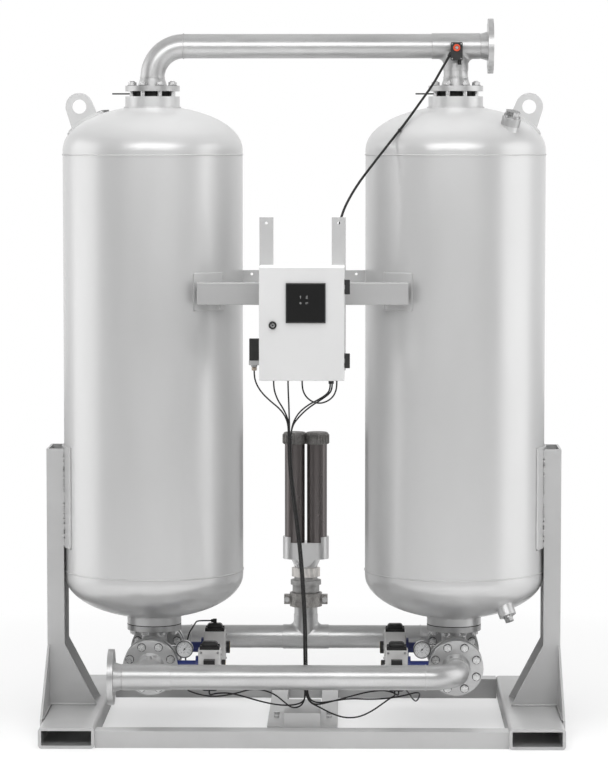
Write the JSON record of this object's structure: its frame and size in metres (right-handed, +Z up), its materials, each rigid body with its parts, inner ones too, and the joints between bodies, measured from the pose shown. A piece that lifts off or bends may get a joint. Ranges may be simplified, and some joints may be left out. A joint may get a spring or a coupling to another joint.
{
  "type": "desiccant air dryer",
  "caption": "Twin tower desiccant compressed air dryer on a steel skid, with actuated valves, exhaust silencer and a control cabinet between the towers.",
  "frame": {"origin": "on the floor, midway between the two towers, in the upright plane of their axes", "axes": "+Z up, +X towards the outlet flange, the cabinet's side (front) faces -Y"},
  "size_m": [1.886, 1.14, 2.5933],
  "materials": {
    "silver_paint": "satin grey silver metallic paint",
    "zinc_steel": "bright zinc plated steel",
    "cabinet_paint": "fine textured light grey powder coat",
    "dark_tube": "dark grey brown satin tube",
    "cast_aluminium": "cast aluminium",
    "clamp_iron": "painted casting, grey silver",
    "blue_paint": "blue epoxy coat",
    "disc_steel": "turned stainless steel",
    "white_plastic": "off white moulding",
    "black_plastic": "black moulding",
    "gloss_black": "black screen",
    "gasket_fibre": "graphite grey fibre gasket",
    "cable_black": "black cable sheath",
    "window_glass": "clear window",
    "needle_black": "black pointer",
    "bead_bed": "packed white desiccant beads"
  },
  "bodies": {
    "machine": {"actuator_bodies": "white_plastic", "actuator_caps": "black_plastic", "bed_screens": "disc_steel", "cabinet_arms": "silver_paint", "cabinet_box": "cabinet_paint", "cable_glands": "black_plastic", "cable_ties": "black_plastic", "centre_bridge": "silver_paint", "centre_rails": "silver_paint", "check_valve_bodies": "disc_steel", "coupling_halves": "clamp_iron", "crossbeam": "silver_paint", "desiccant_beds": "bead_bed", "dew_point_sensor": "black_plastic", "door_hinges": "black_plastic", "exhaust_manifold": "silver_paint", "flange_gaskets": "gasket_fibre", "front_beam": "silver_paint", "gauge_cases": "disc_steel", "gauge_lenses": "window_glass", "inlet_manifold": "silver_paint", "lead_left_front": "cable_black", "lead_left_rear": "cable_black", "lead_loop": "cable_black", "lead_right_front": "cable_black", "lead_right_rear": "cable_black", "lead_right_switch": "cable_black", "lower_bolts": "zinc_steel", "lower_tees": "silver_paint", "mounting_plate": "zinc_steel", "outlet_manifold": "silver_paint", "pilot_valves": "black_plastic", "rear_beam": "silver_paint", "sensor_cable": "cable_black", "side_connector": "black_plastic", "side_tube_left": "silver_paint", "side_tube_right": "silver_paint", "silencer_base": "cast_aluminium", "silencer_cap": "cast_aluminium", "silencer_nipple": "clamp_iron", "silencer_tubes": "dark_tube", "support_post_left": "silver_paint", "support_post_right": "silver_paint", "tie_plate": "silver_paint", "upper_bolts": "zinc_steel", "valve_bodies": "blue_paint", "vessel_left": "silver_paint", "vessel_plugs": "silver_paint", "vessel_right": "silver_paint"},
    "door": {"cabinet_door": "cabinet_paint", "controller": "gloss_black"},
    "lock": {"door_lock": "zinc_steel"},
    "disc_front_left": {"valve_disc_front_left": "disc_steel"},
    "disc_front_right": {"valve_disc_front_right": "disc_steel"},
    "disc_rear_left": {"valve_disc_rear_left": "disc_steel"},
    "disc_rear_right": {"valve_disc_rear_right": "disc_steel"},
    "flap_left": {"check_flap_left": "disc_steel"},
    "flap_right": {"check_flap_right": "disc_steel"},
    "needle_left": {"gauge_needle_left": "needle_black"},
    "needle_right": {"gauge_needle_right": "needle_black"}
  },
  "joints": [
    {"name": "door_hinge", "type": "hinge", "parent": "machine", "child": "door", "pos_m": [0.16, -0.547, 1.508], "axis": [0, 0, 1], "range_deg": [0, 110]},
    {"name": "lock_turn", "type": "hinge", "parent": "door", "child": "lock", "pos_m": [-0.102, -0.556, 1.504], "axis": [0, 1, 0], "range_deg": [0, 90]},
    {"name": "disc_front_left_turn", "type": "hinge", "parent": "machine", "child": "disc_front_left", "pos_m": [-0.555, -0.22, 0.241], "axis": [1, 0, 0], "range_deg": [0, 90]},
    {"name": "disc_rear_left_turn", "type": "hinge", "parent": "machine", "child": "disc_rear_left", "pos_m": [-0.555, 0.22, 0.241], "axis": [1, 0, 0], "range_deg": [0, 90]},
    {"name": "disc_front_right_turn", "type": "hinge", "parent": "machine", "child": "disc_front_right", "pos_m": [0.555, -0.22, 0.241], "axis": [1, 0, 0], "range_deg": [0, 90]},
    {"name": "disc_rear_right_turn", "type": "hinge", "parent": "machine", "child": "disc_rear_right", "pos_m": [0.555, 0.22, 0.241], "axis": [1, 0, 0], "range_deg": [0, 90]},
    {"name": "flap_left_swing", "type": "hinge", "parent": "machine", "child": "flap_left", "pos_m": [-0.59, 0, 2.324], "axis": [0, -1, 0], "range_deg": [0, 70]},
    {"name": "flap_right_swing", "type": "hinge", "parent": "machine", "child": "flap_right", "pos_m": [0.52, 0, 2.324], "axis": [0, -1, 0], "range_deg": [0, 70]},
    {"name": "needle_left_turn", "type": "hinge", "parent": "machine", "child": "needle_left", "pos_m": [-0.433, -0.205, 0.3], "axis": [0, 1, 0], "range_deg": [-180, 90]},
    {"name": "needle_right_turn", "type": "hinge", "parent": "machine", "child": "needle_right", "pos_m": [0.433, -0.205, 0.3], "axis": [0, 1, 0], "range_deg": [-180, 90]}
  ]
}
